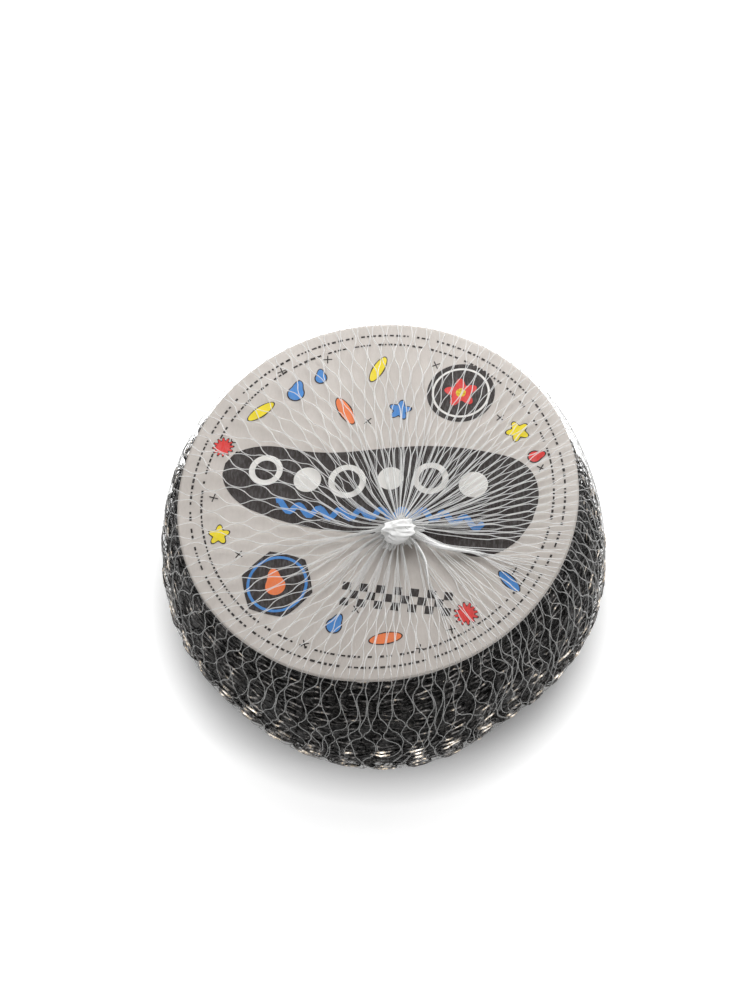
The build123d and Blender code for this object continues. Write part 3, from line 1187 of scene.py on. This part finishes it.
@dataclass(frozen=True)
class NetTube:
    """The stretched tube of plastic net, from the upper seal over the card and down to the lower seal.

    The spacing is the gap between the strands at the rim, for every 45 degrees from the right. A rope is
    its direction and reach in degrees, its route's knots right and back of the card's middle, and how
    stout it is.
    """

    form: PadForm
    strands: int = 164
    strand_radius: float = 0.085
    skirt_radius: float = 0.085
    widest_step: float = 1.9
    cell_side: float = 9.2
    root_top: float = 0.75
    root_foot: float = 3.3
    root_height: float = 3.0
    cell_crown: float = 9.0
    skirt_samples: int = 58
    crown_samples: int = 64
    floor_samples: int = 34
    spacing: tuple = (2.3, 2.8, 3.0, 4.0, 5.0, 3.4, 2.5, 2.0, 2.3)
    loose_direction: float = 182
    knot_gap: tuple = (5.2, 3.6)
    hairs: int = 240
    hair_samples: int = 22
    hair_first_sample: int = 20
    hair_widest_gap: float = 4
    heading_kept: float = 13
    rim_reach: float = 39
    root_spokes: int = 180
    root_rings: int = 16
    skirt_inset: float = 0.3
    floor_hole: float = 1.6
    layer: Layer = Layer(0.2, 0.33, 0.9, 0.12)
    ropes: tuple = (
        (-31, 23, ((5.6, -8.9), (8.4, -10.4), (12.0, -12.2), (19.0, -13.6)), 0.75),
        (-68, 13, ((5.2, -9.4), (7.0, -11.2), (8.8, -14.6), (9.4, -20.0)), 0.30),
    )

    def directions(self) -> Array:
        """The strands' angles around the rim, closer where the net is drawn together.

        The number of strands grows with the sum of one over their spacing, so the angles are found by
        reading that sum backwards.

        Returns:
            One angle for each strand, in radians.
        """
        rng = np.random.default_rng(5)
        fine = np.linspace(0, TURN, 721)
        spacing = np.interp((fine[1:] + fine[:-1]) / 2, np.radians(np.arange(0, 361, 45)), self.spacing)
        total = np.concatenate([[0], np.cumsum(1 / spacing)])
        even = (np.arange(self.strands) + rng.uniform(-0.16, 0.16, self.strands) + 0.5) / self.strands
        return np.interp(even * total[-1], total, fine)

    def rope_lines(
        self, route: tuple, stout: float, stops: Array, goal: Array, rng: np.random.Generator
    ) -> Array:
        """The strands of one rope: along its route as far as their stops, then straight to the rim.

        Args:
            route: The rope's knots, right and back of the card's middle.
            stout: How far its strands lie to the sides of it.
            stops: The share of the route that each strand follows.
            goal: Where each strand crosses the rim.
            rng: The random numbers to use.

        Returns:
            Seven knots for each strand.
        """
        knots, count = np.array(route), len(stops)
        track = lengths_along(knots)
        place = stops[:, None] * np.array([0.0, 0.35, 0.7, 1.0]) * track[-1]
        carried = np.stack([np.interp(place, track, axis) for axis in knots.T], axis=-1)
        heading = unit(carried[:, 2:3] - carried[:, :1])
        side = np.concatenate([-heading[..., 1:], heading[..., :1]], axis=-1)
        spread = np.array([0.5, 0.6, 0.8, 1.1]) * stout
        lane = np.linspace(-1, 1, count)[:, None] * 0.7 + rng.uniform(-0.5, 0.5, (count, 1))
        carried = carried + side * (lane * spread)[..., None]
        run = carried[:, 3:] + (goal - carried[:, 3:]) * np.array([0.33, 0.67])[None, :, None]
        run[:, :1] += heading * 0.7
        return np.concatenate([carried, run, goal], axis=1)

    def crown_lines(self, rim: Array) -> tuple[Array, Array]:
        """The strands' middle lines over the card, from the rim to the seal, before they meet in knots.

        Most leave the seal in tufts and straighten towards the rim. Two bundles leave it as ropes, which
        run along the card for a while and then fan out.

        Args:
            rim: Where the strands cross the rim, as points in the CAD frame.

        Returns:
            Points by strand and by place, as right, back and lift over the card, and how free each place is
            to bend from side to side, from nought to one.
        """
        rng = np.random.default_rng(6)
        count = len(rim)
        seal = np.array([self.form.gather_right, -self.form.gather_front])
        end = np.stack(self.form.card_place(rim), axis=-1)
        straight = end - seal
        length = np.linalg.norm(straight, axis=-1, keepdims=True)
        angle = np.unwrap(np.arctan2(straight[:, 1], straight[:, 0]))
        edges = np.cumsum(rng.integers(2, 6, count))
        tuft = np.searchsorted(edges, np.arange(count), side="right")
        middles = np.bincount(tuft, angle) / np.maximum(np.bincount(tuft), 1)
        leave = angle + 0.75 * (middles[tuft] - angle)
        aside = wrapped(angle - np.radians(self.loose_direction))
        loose_side = np.exp(-((aside / 0.75) ** 2))
        leave = leave - 0.5 * aside * loose_side
        near, first = seal + facing(leave) * 0.95, seal + facing(leave) * 0.2 * length
        turned = angle + 0.3 * (middles[tuft] - angle) + 0.1 * aside * loose_side
        second = seal + facing(turned) * 0.5 * length
        third = seal + straight * 0.78 + rng.normal(size=(count, 2)) * 0.12
        knots = [near, first, (first + second) / 2, second, (second + third) / 2, third, end]
        lines = np.stack(knots, axis=1)
        rise = (2.9 + 0.5 * rng.normal(size=(count, 1))) * np.ones((1, self.crown_samples))
        kept = np.linalg.norm(near - seal, axis=-1)
        for middle, reach, route, stout in self.ropes:
            away = np.degrees(wrapped(angle - np.radians(middle)))
            chosen = np.abs(away) < reach
            stops = 1 - 0.7 * np.abs(away[chosen] / reach - 0.3) ** 1.3
            stops = np.clip(stops, 0.3, 1) * rng.uniform(0.85, 1.0, chosen.sum())
            lines[chosen] = self.rope_lines(route, stout, stops, end[chosen][:, None], rng)
            kept[chosen] = stops * lengths_along(np.array(route))[-1]
        flat = through(lines[:, ::-1], self.crown_samples)
        away = np.linalg.norm(flat - seal, axis=-1)
        rise = rise * (1 - np.clip(away / 15, 0, 1)) ** 2.2
        held = kept[:, None] > away
        rise = rise + np.where(held, rng.uniform(0.0, 0.8, (count, 1)), 0.0) * np.exp(-((away / 14) ** 2))
        freedom = smooth_step(away - kept[:, None], 5, 15)
        lift = self.form.card_drop - self.layer.drop + rise
        return np.concatenate([flat, lift[..., None]], axis=-1), freedom

    def knotted(self, lines: Array, phase: Array, freedom: Array) -> Array:
        """Bends the strands from side to side so that each meets its two neighbours in turn.

        A strand moves towards one neighbour by half the gap, less what its own thickness fills, times a
        wave of straight slopes and rounded tops. Its neighbour does the opposite, so they meet and part.
        Where the gap is wide, or either isn't free, they stay apart.

        Args:
            lines: The middle lines, by strand and by place.
            phase: How far along its cells each place is, in radians.
            freedom: The share of the full bend at each place.

        Returns:
            The bent lines.
        """
        sign = np.where(np.arange(len(lines)) % 2, 1, -1)[:, None]
        wave = sign * np.tanh(1.2 * np.arcsin(0.98 * np.sin(phase))) / np.tanh(1.2 * np.arcsin(0.98))
        along = unit(np.gradient(lines, axis=1))
        moved = lines.copy()
        for step_to, share in ((-1, np.maximum(wave, 0)), (1, np.maximum(-wave, 0))):
            gap = np.roll(lines, step_to, axis=0) - lines
            gap = gap - along * (gap * along).sum(axis=-1, keepdims=True)
            size = np.linalg.norm(gap, axis=-1)
            step = np.clip(size / 2 - self.strand_radius, 0, self.widest_step) / np.maximum(size, 1e-6)
            both = np.minimum(freedom, np.roll(freedom, step_to, axis=0)) * smooth_step(size, *self.knot_gap)
            moved += gap * (share * step * both)[..., None]
        return moved

    def strand_tubes(self, paths: Array, out: Array, radius: float | Array) -> Shape:
        """The strands as round tubes of slightly uneven thickness."""
        rng = np.random.default_rng(8)
        thickness = radius * rng.uniform(0.85, 1.2, (len(paths), 1)) * np.ones(paths.shape[:2])
        return tubes(paths, out, thickness, thickness, 5, np.zeros(paths.shape[:2]), ring=False)

    def root(self) -> Shape:
        """The gathered root under the seal: a fluted cone whose radius grows as it comes down to the card.

        At height share h the radius runs from the narrow to the wide one by a power of 1 - h. The
        flutes are a sine of the angle whose depth fades towards the seal, and the foot is uneven.

        Returns:
            The root as a closed skin.
        """
        around = np.linspace(0, TURN, self.root_spokes, endpoint=False)[None, :]
        share = np.linspace(0, 1, self.root_rings)[:, None]
        flutes = 0.5 * np.sin(23 * around + 1.5 * np.sin(3 * around)) + 0.5 * np.sin(37 * around + 2)
        uneven = 1 + 0.22 * np.sin(2 * around + 1) + 0.18 * np.sin(5 * around) + 0.12 * flutes
        reach = self.root_top + (self.root_foot * uneven - self.root_top) * (1 - share) ** 2.4
        reach = reach * (1 + 0.10 * flutes * (1 - 0.5 * share))
        lift = self.form.card_drop - 0.35 + share * self.root_height
        right = self.form.gather_right + reach * np.cos(around)
        back = -self.form.gather_front + reach * np.sin(around)
        return outward(closed_shell(self.form.on_card(right, back, lift)))

    def fibrils(self, paths: Array) -> Shape:
        """Fine hairs drawn out between the strands near the seal.

        Each runs between two neighbours: its place is one strand's plus a share of the way to the next, and
        the share eases from nought or one, where it leaves a strand, to its own value halfway to the seal.

        Args:
            paths: The strands over the card, in the CAD frame, from the rim to the seal.

        Returns:
            The hairs as thin tubes.
        """
        rng = np.random.default_rng(9)
        count, steps = self.hairs, self.hair_samples
        gaps = np.linalg.norm(np.diff(paths[:, self.hair_first_sample:], axis=0), axis=-1).max(axis=1)
        first = rng.choice(np.flatnonzero(gaps < self.hair_widest_gap), count)[:, None]
        leave = rng.uniform(0.3, 0.75, (count, 1))
        run = np.linspace(0, 1, steps)[None, :]
        place = (leave + (1 - leave) * run) * (paths.shape[1] - 1 - 1e-6)
        before = place.astype(int)
        part = (place - before)[..., None]
        one = paths[first, before] * (1 - part) + paths[first, before + 1] * part
        two = paths[first + 1, before] * (1 - part) + paths[first + 1, before + 1] * part
        start = rng.integers(0, 2, (count, 1))
        share = start + (rng.uniform(0.1, 0.9, (count, 1)) - start) * smooth_step(run, 0.0, 0.5)
        hairs = one + (two - one) * share[..., None]
        hairs[..., 2] += rng.uniform(-0.1, 0.5, (count, 1)) * np.sin(run * np.pi)
        size = rng.uniform(0.018, 0.038, (count, 1)) * np.ones((1, steps))
        return tubes(hairs, np.broadcast_to(UP, hairs.shape), size, size, 4, np.zeros(size.shape), ring=False)

    def rope_cores(self) -> list[Shape]:
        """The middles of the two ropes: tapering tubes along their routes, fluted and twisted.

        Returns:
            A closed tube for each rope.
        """
        cores, samples, sides = [], 60, 28
        share = np.linspace(0, 1, samples)
        lift = self.form.card_drop + 0.2 + 2.2 * (1 - share) ** 3 + 0.7 * np.sin(share * np.pi)
        for _, _, route, stout in self.ropes:
            start = [self.form.gather_right + 0.3, -self.form.gather_front]
            flat = through(np.concatenate([[start], np.array(route)])[None], samples)
            paths = self.form.on_card(flat[..., 0], flat[..., 1], np.broadcast_to(lift, flat.shape[:2]))
            size = (stout * (1.15 - 0.5 * share) * np.sqrt(1 - 0.99 * share**3))[None]
            out, twist = np.broadcast_to(UP, paths.shape), (share * 5)[None]
            plain = tubes(paths, out, size, size * 0.75, sides, twist, ring=False)
            number = np.arange(len(plain.points))
            corner = number % sides
            middle = np.repeat(paths[0], sides, axis=0)
            flutes = 1 + 0.12 * np.sin(corner * TURN / 4) + 0.05 * np.sin(corner * 2.3 + number / 190)
            cores.append(outward(Shape(middle + (plain.points - middle) * flutes[:, None], plain.faces)))
        return cores

    def crown(self, lines: Array, freedom: Array, shift: Array) -> Shape:
        """The strands over the card, which grow thinner towards the seal, with the hairs between them.

        Args:
            lines: The strands' middle lines over the card.
            freedom: How free each place is to bend.
            shift: Where each strand's cells begin, in radians.

        Returns:
            The strands and hairs as one shape.
        """
        form, length = self.form, lengths_along(lines)
        phase = shift[:, None] + TURN * length / self.cell_crown
        tight = 1 - 0.7 * np.exp(-((length / 2.5) ** 2))
        paths = self.knotted(lines, phase, freedom * tight)
        away = np.linalg.norm(paths[..., :2] - np.array([form.gather_right, -form.gather_front]), axis=-1)
        radius = self.strand_radius * (0.72 + 0.28 * smooth_step(away, 4, 18))
        points = form.on_card(paths[..., 0], paths[..., 1], paths[..., 2])
        up = np.array([-np.sin(form.lean), 0, np.cos(form.lean)])
        strands = self.strand_tubes(points, np.broadcast_to(up, points.shape), radius)
        return joined([strands, self.fibrils(points)])

    def skirt_and_floor(self, angles: Array, top: Array, swing: Array, shift: Array) -> tuple[Shape, Shape]:
        """The strands down the side, and on under the base to the lower seal.

        A strand keeps the heading that it has at the rim for a while: its angle grows with the tangent of
        the swing, times one less e to minus the fall.

        Args:
            angles: The strands' angles at the rim.
            top: How far up the profile the rim lies, for each strand.
            swing: How far each strand's heading is turned from straight down, in radians.
            shift: Where each strand's cells begin, in radians.

        Returns:
            The skirt's strands and the floor's.
        """
        form = self.form
        way = np.linspace(0, 1, self.skirt_samples)[None, :] * (top + form.lower_length)[:, None]
        way = (way - form.lower_length)[:, ::-1]
        fall = top[:, None] - way
        kept = self.heading_kept
        spread = angles[:, None] + np.tan(swing)[:, None] * kept * (1 - np.exp(-fall / kept)) / self.rim_reach
        spread = spread + 0.022 * Wander(42, turns=20)(spread, fall) * smooth_step(fall, 0, 8)
        phase = shift[:, None] - TURN * fall / self.cell_side * (1 + 0.10 * Wander(43)(spread, fall))
        loose = np.full_like(fall, -self.skirt_inset)
        lines = form.skin(way, spread, self.layer, loose)
        paths = self.knotted(lines, phase, 1 - 0.7 * np.exp(-((fall / 2.5) ** 2)))
        skirt = self.strand_tubes(paths, form.skin_out(way, spread, self.layer, loose), self.skirt_radius)
        reach = np.linspace(0, 1, self.floor_samples)[None, :] * (form.base_radius - self.floor_hole)
        way = -form.lower_length - reach + np.zeros_like(top)[:, None]
        phase = phase[:, -1:] - TURN * reach / self.cell_side
        lines = form.skin(way, spread[:, -1:], self.layer, np.zeros_like(way))
        paths = self.knotted(lines, phase, np.ones_like(way))
        return skirt, self.strand_tubes(paths, np.broadcast_to(-UP, paths.shape), self.skirt_radius)

    def make(self) -> None:
        """Builds the crown, the skirt and the floor of the net from the same strands, and dresses them."""
        form = self.form
        milky = NetFinish("net_strands", (0.95, 0.95, 0.94), (0.84, 0.84, 0.83), 0.54, 0.3).material()
        # The skirt and floor strands take a darker copy of the net's colour, painted shade on the sides, and
        # let more light through.
        clear = NetFinish("net_strands_side_shaded", (0.80, 0.80, 0.79), (0.62, 0.62, 0.61), 0.34, 0.35).material()
        packed = NetFinish("net_gathered", (0.98, 0.98, 0.97), (0.93, 0.93, 0.92), 0.95, 0.45).material()
        angles = self.directions()
        _, _, start, end = form.shoulder(angles, self.layer)
        top = form.side_round * start + (end - start) * self.layer.shoulder
        crown, freedom = self.crown_lines(form.skin(top, angles, self.layer, np.zeros_like(top)))
        heading = np.arctan2(*(crown[:, 0, :2] - crown[:, 3, :2]).T[::-1])
        swing = np.clip(wrapped(heading - angles), -0.6, 0.6)
        shift = 0.35 * Wander(41, turns=6)(angles, np.zeros_like(angles))
        skirt, floor = self.skirt_and_floor(angles, top, swing, shift)
        crown_piece = make_piece("net_crown_strands", self.crown(crown, freedom, shift), milky)
        skirt_piece = make_piece("net_skirt_strands", skirt, clear)
        floor_piece = make_piece("net_floor_strands", floor, clear)
        root = make_piece("net_root", joined([self.root(), *self.rope_cores()]), packed)
        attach(root, Body.CROWN.value)
        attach(crown_piece, Body.CROWN.value)
        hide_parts("net_crown")
        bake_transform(skirt_piece)
        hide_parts("net_skirt")
        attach(floor_piece, Body.SCRUBBER.value)
        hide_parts("net_floor")


@dataclass(frozen=True)
class MeltedSeals:
    """The two lumps into which the ends of the net are melted."""

    form: PadForm
    upper_halves: tuple = (2.8, 1.75, 1.05)
    upper_tip: tuple = (-0.1, -1.0, -0.3)
    upper_lift: float = 3.2
    upper_forward: float = 0.7
    lower_halves: tuple = (2.1, 1.8, 1.0)
    lower_tip: tuple = (0.4, 0.3, -0.6)
    lower_height: float = 1.7
    spokes: int = 120
    rings: int = 70
    pole_gap: float = 0.05
    fold_sizes: tuple = (2.2, 3.4, 5.0, 7.5, 11.0)

    def lump(self, middle: Array, halves: tuple, tip: tuple, seed: int) -> Shape:
        """A closed lump: an ellipsoid whose radius swells towards a tip and in creased folds.

        Each fold is 0.6 less the size of a sine of the distance along a random direction.

        Args:
            middle: Its middle.
            halves: Half its length along each axis.
            tip: The direction in which it is drawn to a point.
            seed: Which random folds it gets.

        Returns:
            The lump.
        """
        around = np.linspace(0, TURN, self.spokes, endpoint=False)[None, :]
        up = np.linspace(-np.pi / 2 + self.pole_gap, np.pi / 2 - self.pole_gap, self.rings)[:, None]
        across = np.cos(up)
        ball = np.stack([across * np.cos(around), across * np.sin(around), np.sin(up) + 0 * around], axis=-1)
        drawn = np.maximum(ball @ unit(np.array(tip)), 0) ** 5
        rng = np.random.default_rng(seed)
        folds = np.zeros(ball.shape[:2])
        for size in self.fold_sizes:
            wave = np.sin(ball @ unit(rng.normal(size=3)) * size + rng.uniform(0, TURN))
            folds += (0.6 - np.abs(wave)) / size
        reach = 1 + 0.85 * drawn + 0.65 * folds
        return outward(closed_shell(middle + ball * np.array(halves) * reach[..., None]))

    def make(self) -> None:
        """Builds and dresses both seals. The upper one tilts with its own body."""
        finish = NetFinish("melted_plastic", (0.92, 0.92, 0.91), (0.78, 0.78, 0.77), 0.96, 0.38).material()
        form = self.form
        forward = np.array(-form.gather_front - self.upper_forward)
        middle = form.on_card(np.array(form.gather_right), forward, np.array(self.upper_lift))
        high = self.lump(middle, self.upper_halves, self.upper_tip, 3)
        upper = make_piece("upper_seal", high, finish)
        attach(upper, Body.SEAL.value)
        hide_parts("top_seal")
        low = self.lump(np.array([0, 0, self.lower_height]), self.lower_halves, self.lower_tip, 4)
        lower = make_piece("lower_seal", low, finish)
        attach(lower, Body.SCRUBBER.value)
        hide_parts("bottom_seal")


@dataclass(frozen=True)
class CentreTie:
    """The wire tie inside the pad, whose CAD solid is kept."""

    def make(self) -> None:
        """Gives the CAD node a drawn steel finish in place of its plain one."""
        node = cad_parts["centre_tie"]
        finish = TieFinish("tie_steel").material()
        for place in range(len(node.data.materials)):
            node.data.materials[place] = finish
        log.info("centre_tie: CAD solid, refinished")


@dataclass(frozen=True)
class Lamp:
    """A square soft lamp: its name, its place and side in metres, and its power in watts."""

    name: str
    place: tuple
    size: float
    power: float


@dataclass(frozen=True)
class Studio:
    """A pale floor that turns up into a wall all round, soft lamps, and the camera, in metres.

    The floor's own light, as the camera sees it, grows with the distance from a point near the origin: low
    around the pad, it paints a darker ring there as contact shadow, over the shadow that the lamps cast.
    """

    floor_reach: float = 1.3
    wall_height: float = 0.9
    wall_round: float = 0.35
    spokes: int = 96
    floor_shade: float = 0.86
    glow_with_painted_shadow: tuple = (0.06, 0.66, 0.0375, 0.0475)
    painted_shadow_middle: tuple = (0, 0.0015, 0)
    sky: float = 0.28
    distance: float = 0.400
    elevation: float = 61.5
    frame_long_side: float = 0.178
    sensor: float = 36
    aim: tuple = (-0.00157, -0.00106, 0.03442)
    lamp_aim: tuple = (0, 0, 0.02)
    lamps: tuple = (
        Lamp("lamp_back", (0.02, 0.20, 0.21), 0.36, 1.25),
        Lamp("lamp_right", (0.60, -0.25, 0.35), 0.12, 0.50),
        Lamp("lamp_left", (-0.62, -0.35, 0.30), 0.12, 0.40),
        Lamp("lamp_low", (0.12, -0.60, 0.10), 0.06, 0.40),
    )

    def backdrop(self) -> Shape:
        """The floor and wall as one surface of revolution: flat, then a quarter round, then upright."""
        corner = self.floor_reach - self.wall_round
        flat = np.array([[reach, 0.0] for reach in (0.001, 0.15, 0.4, corner)])
        turn = np.linspace(0, np.pi / 2, 14)[1:]
        bend = [corner + self.wall_round * np.sin(turn), self.wall_round * (1 - np.cos(turn))]
        top = [[self.floor_reach, self.wall_height]]
        profile = np.concatenate([flat, np.stack(bend, axis=-1), top])
        radius, height = profile[:, :1], profile[:, 1:]
        around = np.linspace(0, TURN, self.spokes, endpoint=False)
        points = np.stack([radius * np.cos(around), radius * np.sin(around), height + 0 * around], axis=-1)
        faces = [grid_faces(len(profile), self.spokes), np.arange(self.spokes)[None, :]]
        return Shape(points.reshape(-1, 3) / MM, faces)

    def floor_finish(self) -> Material:
        """The floor's pale matt finish, with its own light for what the camera sees directly or mirrored,
        lower near the pad, which paints a contact shadow there.

        Returns:
            The material.
        """
        made = bpy.data.materials.new("pale_floor")
        nodes = Nodes(made)
        nodes.set(Base_Color=(self.floor_shade,) * 3 + (1,), Roughness=0.9, Specular_IOR_Level=0.0)
        path = nodes.add("ShaderNodeLightPath")
        seen = path.outputs["Is Camera Ray"]
        for ray in ("Is Glossy Ray", "Is Transmission Ray"):
            either = nodes.add("ShaderNodeMath", Value=seen)
            either.operation = "MAXIMUM"
            nodes.put(either.inputs[1], path.outputs[ray])
            seen = either.outputs[0]
        # The floor's light grows with the distance from the pad's middle; low near the pad, it paints a
        # contact shadow.
        away = nodes.add("ShaderNodeVectorMath", Vector=nodes.place)
        away.operation = "DISTANCE"
        nodes.put(away.inputs[1], self.painted_shadow_middle)
        strength = nodes.spread(away.outputs["Value"], *self.glow_with_painted_shadow)
        glow_with_painted_shadow = nodes.add("ShaderNodeEmission", Color=(1, 1, 1, 1), Strength=strength)
        both = nodes.add("ShaderNodeAddShader")
        nodes.put(both.inputs[0], nodes.shader.outputs[0])
        nodes.put(both.inputs[1], glow_with_painted_shadow.outputs[0])
        choose = nodes.add("ShaderNodeMixShader", Fac=seen)
        nodes.put(choose.inputs[1], nodes.shader.outputs[0])
        nodes.put(choose.inputs[2], both.outputs[0])
        nodes.put(nodes.tree.nodes["Material Output"].inputs["Surface"], choose.outputs[0])
        return made

    def hang(self, lamp: Lamp) -> None:
        """Hangs a lamp at its place, facing the object."""
        data = bpy.data.lights.new(lamp.name, "AREA")
        data.size, data.energy = lamp.size, lamp.power
        hung = bpy.data.objects.new(lamp.name, data)
        hung.location = lamp.place
        towards = Vector(self.lamp_aim) - Vector(lamp.place)
        hung.rotation_euler = towards.to_track_quat("-Z", "Y").to_euler()
        bpy.context.scene.collection.objects.link(hung)

    def place_camera(self) -> None:
        """Places the camera in front, raised to the photo's elevation, and makes it the scene's."""
        tilt = np.radians(self.elevation)
        back = Vector((0, -float(np.cos(tilt)), float(np.sin(tilt))))
        data = bpy.data.cameras.new("camera")
        data.sensor_width = self.sensor
        data.lens = self.sensor * self.distance / self.frame_long_side
        data.clip_start, data.clip_end = 0.01, 10
        camera = bpy.data.objects.new("camera", data)
        camera.location = Vector(self.aim) + back * self.distance
        camera.rotation_euler = (-back).to_track_quat("-Z", "Y").to_euler()
        bpy.context.scene.collection.objects.link(camera)
        bpy.context.scene.camera = camera

    def make(self) -> None:
        """Builds the backdrop, the lamps, the plain world and the camera."""
        make_piece("studio_floor", self.backdrop(), self.floor_finish())
        for lamp in self.lamps:
            self.hang(lamp)
        world = bpy.data.worlds.new("plain_sky")
        bpy.context.scene.world = world
        world.use_nodes = True
        sky = world.node_tree.nodes["Background"].inputs
        sky["Color"].default_value = (1, 1, 1, 1)
        sky["Strength"].default_value = self.sky
        self.place_camera()
        bpy.context.scene.view_settings.view_transform = "Standard"
        log.info("studio: floor, lamps and camera")


def main() -> None:
    """Builds the studio, then the pad from the inside out."""
    logging.basicConfig(level=logging.INFO, format="%(message)s")
    form = PadForm()
    Studio().make()
    KnittedSleeve(form).make()
    CentreTie().make()
    Card(form).make()
    NetTube(form).make()
    MeltedSeals(form).make()


if __name__ == "__main__":
    main()
